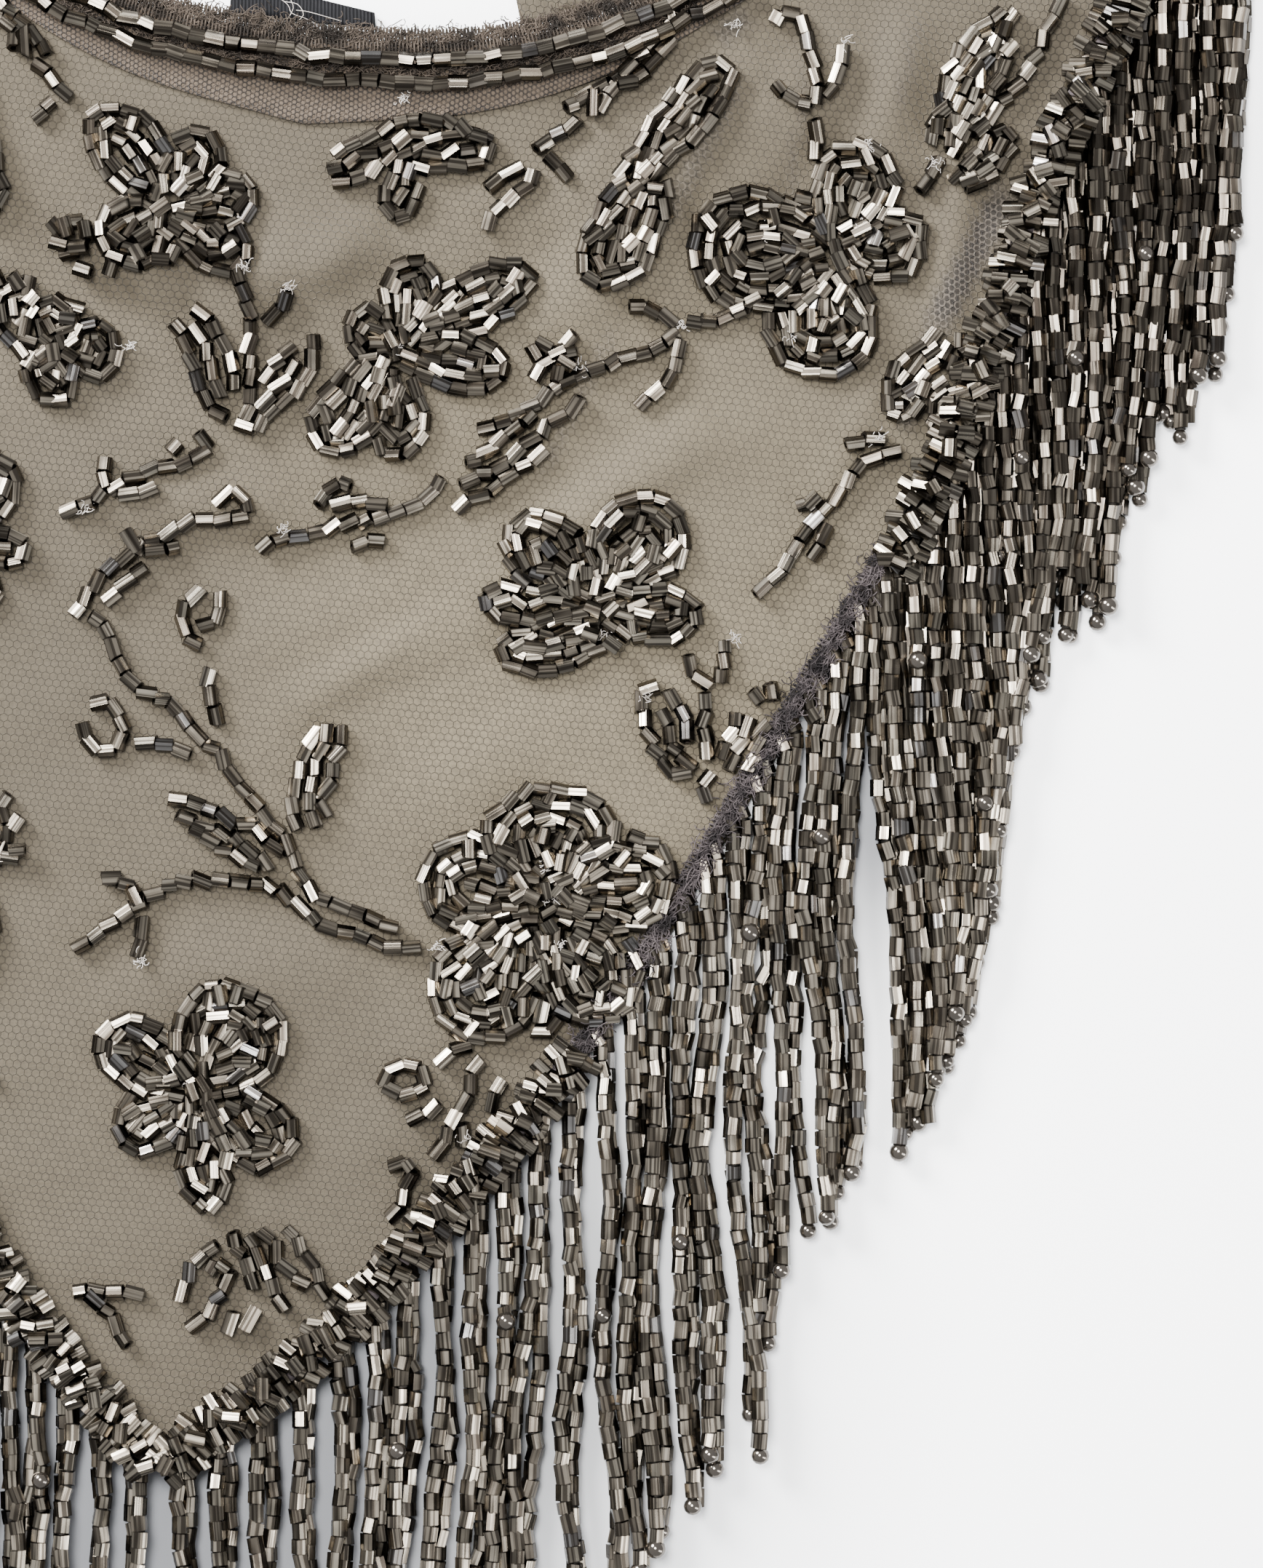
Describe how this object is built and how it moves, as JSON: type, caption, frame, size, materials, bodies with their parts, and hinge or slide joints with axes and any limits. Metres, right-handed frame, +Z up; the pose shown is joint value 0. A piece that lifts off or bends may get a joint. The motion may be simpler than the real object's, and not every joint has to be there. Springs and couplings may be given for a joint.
{
  "type": "beaded bandana",
  "caption": "Bandana laid flat: a pointed net bib over a lining, with bead flowers and leaves, beaded hem bands, two ties and a long strand fringe.",
  "frame": {"origin": "middle of the bounding box's underside, on the surface that the garment lies on", "axes": "+Z up, out of the garment's face; +Y towards the neckline and the ties, up the picture; +X to the picture's right"},
  "size_m": [0.2464, 0.3804, 0.0072],
  "materials": {
    "net": "fine hexagonal net, matt, beige grey",
    "lining": "soft woven lining, matt, beige",
    "neck_net": "doubled net, matt, taupe",
    "overlock": "fuzzy overlocked thread, brown grey",
    "glass_beads": "faceted silver-lined glass, smoky, high gloss",
    "strand_beads": "faceted silver-lined glass, smoky, high gloss, on thread",
    "label": "black woven scrap, matt, blank"
  },
  "bodies": {
    "root": {"back_ply": "net", "flower_edge": "glass_beads", "flower_heart": "glass_beads", "flower_heart_left": "glass_beads", "flower_large": "glass_beads", "flower_large_left": "glass_beads", "flower_low": "glass_beads", "flower_middle": "glass_beads", "flower_neck": "glass_beads", "flower_side": "glass_beads", "flower_side_left": "glass_beads", "fringe_left": "strand_beads", "fringe_right": "strand_beads", "hem_beads_lower_left": "glass_beads", "hem_beads_lower_right": "glass_beads", "hem_beads_upper_left": "glass_beads", "hem_beads_upper_right": "glass_beads", "label": "label", "leaf_dark": "glass_beads", "leaf_dark_left": "glass_beads", "leaf_hem_left": "glass_beads", "leaf_hem_left_left": "glass_beads", "leaf_high": "glass_beads", "leaf_high_left": "glass_beads", "leaf_level": "glass_beads", "leaf_long": "glass_beads", "leaf_long_left": "glass_beads", "leaf_low_fan": "glass_beads", "leaf_neck": "glass_beads", "leaf_pair_left": "glass_beads", "leaf_pair_right": "glass_beads", "leaf_stem": "glass_beads", "leaf_upright": "glass_beads", "lining": "lining", "neck_band": "neck_net", "neck_edging": "overlock", "neck_row_lower": "glass_beads", "neck_row_upper": "glass_beads", "net_bib": "net", "tie_left": "net", "tie_right": "net"}
  },
  "joints": []
}
